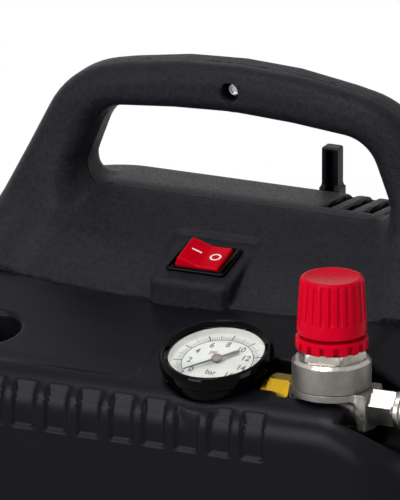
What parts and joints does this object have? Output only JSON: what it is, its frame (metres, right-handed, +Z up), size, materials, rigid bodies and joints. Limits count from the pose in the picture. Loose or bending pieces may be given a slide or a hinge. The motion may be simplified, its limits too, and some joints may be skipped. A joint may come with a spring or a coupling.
{
  "type": "portable air compressor",
  "caption": "Portable oil-free air compressor: black moulded case with carry handle, rocker switch, pressure gauge, red regulator knob and quick coupler.",
  "frame": {"origin": "centre of the housing footprint, on the floor under the feet", "axes": "+X to the right as seen from the front (switch and gauge side), +Y to the back, +Z up"},
  "size_m": [0.3225, 0.206, 0.33],
  "materials": {
    "textured_black_plastic": "spark-textured moulded ABS",
    "satin_black_plastic": "satin moulded ABS",
    "gloss_black_plastic": "polished ABS",
    "red_plastic": "moulded polycarbonate",
    "black_rubber": "moulded rubber",
    "white_dial": "printed plate",
    "clear_glass": "clear",
    "pointer_black": "painted",
    "die_cast_zinc": "as cast, matt",
    "nickel_plated": "nickel plated, turned",
    "brass": "turned",
    "zinc_plated_steel": "zinc plated",
    "electrical_steel": "laminated",
    "copper": "enamelled wire",
    "cast_aluminium": "die cast",
    "spring_steel": "drawn wire",
    "carbon": "pressed carbon",
    "ptfe": "filled PTFE",
    "nylon": "glass-filled nylon"
  },
  "bodies": {
    "housing": {"front_cover": "satin_black_plastic", "handle_shell": "textured_black_plastic", "rear_shell": "textured_black_plastic", "base_plate": "satin_black_plastic", "case_screws": "zinc_plated_steel", "rubber_feet": "black_rubber", "foot_screws": "zinc_plated_steel", "switch_housing": "gloss_black_plastic", "switch_terminals": "brass", "gauge_case": "gloss_black_plastic", "gauge_bezel": "gloss_black_plastic", "gauge_lens": "clear_glass", "gauge_dial": "white_dial", "gauge_movement": "brass", "gauge_bourdon_tube": "brass", "gauge_stem": "brass", "regulator_body": "die_cast_zinc", "regulator_diaphragm": "black_rubber", "regulator_valve": "brass", "regulator_bonnet": "die_cast_zinc", "regulator_spring": "spring_steel", "regulator_lock_ring": "red_plastic", "coupler_adapter": "nickel_plated", "coupler_body": "nickel_plated", "coupler_balls": "zinc_plated_steel", "coupler_spring": "spring_steel", "coupler_seal": "black_rubber", "motor_stator": "electrical_steel", "motor_windings": "copper", "motor_bracket_front": "cast_aluminium", "motor_bracket_rear": "cast_aluminium", "motor_bearings": "zinc_plated_steel", "motor_brushes": "carbon", "drive_belt": "black_rubber", "crankcase": "cast_aluminium", "crank_bearings": "zinc_plated_steel", "cylinder": "cast_aluminium", "valve_plate": "zinc_plated_steel", "cylinder_head": "cast_aluminium", "head_bolts": "zinc_plated_steel", "intake_filter": "nylon", "outlet_tube": "copper", "safety_valve": "brass", "cord_hooks": "satin_black_plastic", "hook_screws": "zinc_plated_steel", "cord_gland": "black_rubber"},
    "switch_rocker_body": {"switch_rocker": "red_plastic"},
    "gauge_pointer_body": {"gauge_pointer": "pointer_black"},
    "regulator_spindle_body": {"regulator_spindle": "zinc_plated_steel"},
    "regulator_knob_body": {"regulator_knob": "red_plastic"},
    "regulator_seat_body": {"regulator_spring_seat": "zinc_plated_steel"},
    "coupler_sleeve_body": {"coupler_sleeve": "nickel_plated"},
    "coupler_valve_body": {"coupler_valve": "brass"},
    "motor_rotor_body": {"motor_rotor": "electrical_steel", "motor_fan": "nylon", "motor_pulley": "zinc_plated_steel"},
    "crankshaft_body": {"crankshaft": "electrical_steel", "crank_pulley": "cast_aluminium"},
    "piston_body": {"piston": "cast_aluminium", "piston_cup": "ptfe"}
  },
  "joints": [
    {"name": "switch_rock", "type": "hinge", "parent": "housing", "child": "switch_rocker_body", "pos_m": [0, 0.0035, 0.24161], "axis": [0, -0.9659, -0.2588], "range_deg": [0, 20]},
    {"name": "gauge_needle", "type": "hinge", "parent": "housing", "child": "gauge_pointer_body", "pos_m": [0.0375, -0.0632, 0.21179], "axis": [0, 0.2639, -0.9646], "range_deg": [0, 270], "stiffness_Nm_per_rad": 0.0002, "springref_deg": -11.46},
    {"name": "regulator_turn", "type": "hinge", "parent": "housing", "child": "regulator_spindle_body", "pos_m": [0.0964, -0.0635, 0.227], "axis": [0, 0, -1], "range_deg": [0, 1440]},
    {"name": "knob_lift", "type": "slide", "parent": "regulator_spindle_body", "child": "regulator_knob_body", "axis": [0, 0, 1], "range_m": [0, 0.003]},
    {"name": "spring_seat_slide", "type": "slide", "parent": "housing", "child": "regulator_seat_body", "axis": [0, 0, -1], "range_m": [0, 0.004], "deforming": ["regulator_spring"]},
    {"name": "coupler_sleeve_slide", "type": "slide", "parent": "housing", "child": "coupler_sleeve_body", "axis": [-1, 0, 0], "range_m": [0, 0.004], "stiffness_N_per_m": 1200, "springref_m": -0.003, "deforming": ["coupler_spring"]},
    {"name": "coupler_valve_slide", "type": "slide", "parent": "housing", "child": "coupler_valve_body", "axis": [-1, 0, 0], "range_m": [0, 0.004], "stiffness_N_per_m": 400, "springref_m": -0.002},
    {"name": "motor_spin", "type": "hinge", "parent": "housing", "child": "motor_rotor_body", "pos_m": [-0.072, 0, 0.078], "axis": [0, 1, 0], "continuous": true},
    {"name": "crank_spin", "type": "hinge", "parent": "housing", "child": "crankshaft_body", "pos_m": [0.048, 0, 0.078], "axis": [0, 1, 0], "continuous": true},
    {"name": "piston_stroke", "type": "slide", "parent": "housing", "child": "piston_body", "axis": [0, 0, -1], "range_m": [0, 0.022]}
  ],
  "couplings": [
    {"joint": "regulator_turn", "follows": "spring_seat_slide", "rad_per_m": 6283.2},
    {"joint": "crank_spin", "follows": "motor_spin", "ratio": 0.25}
  ]
}
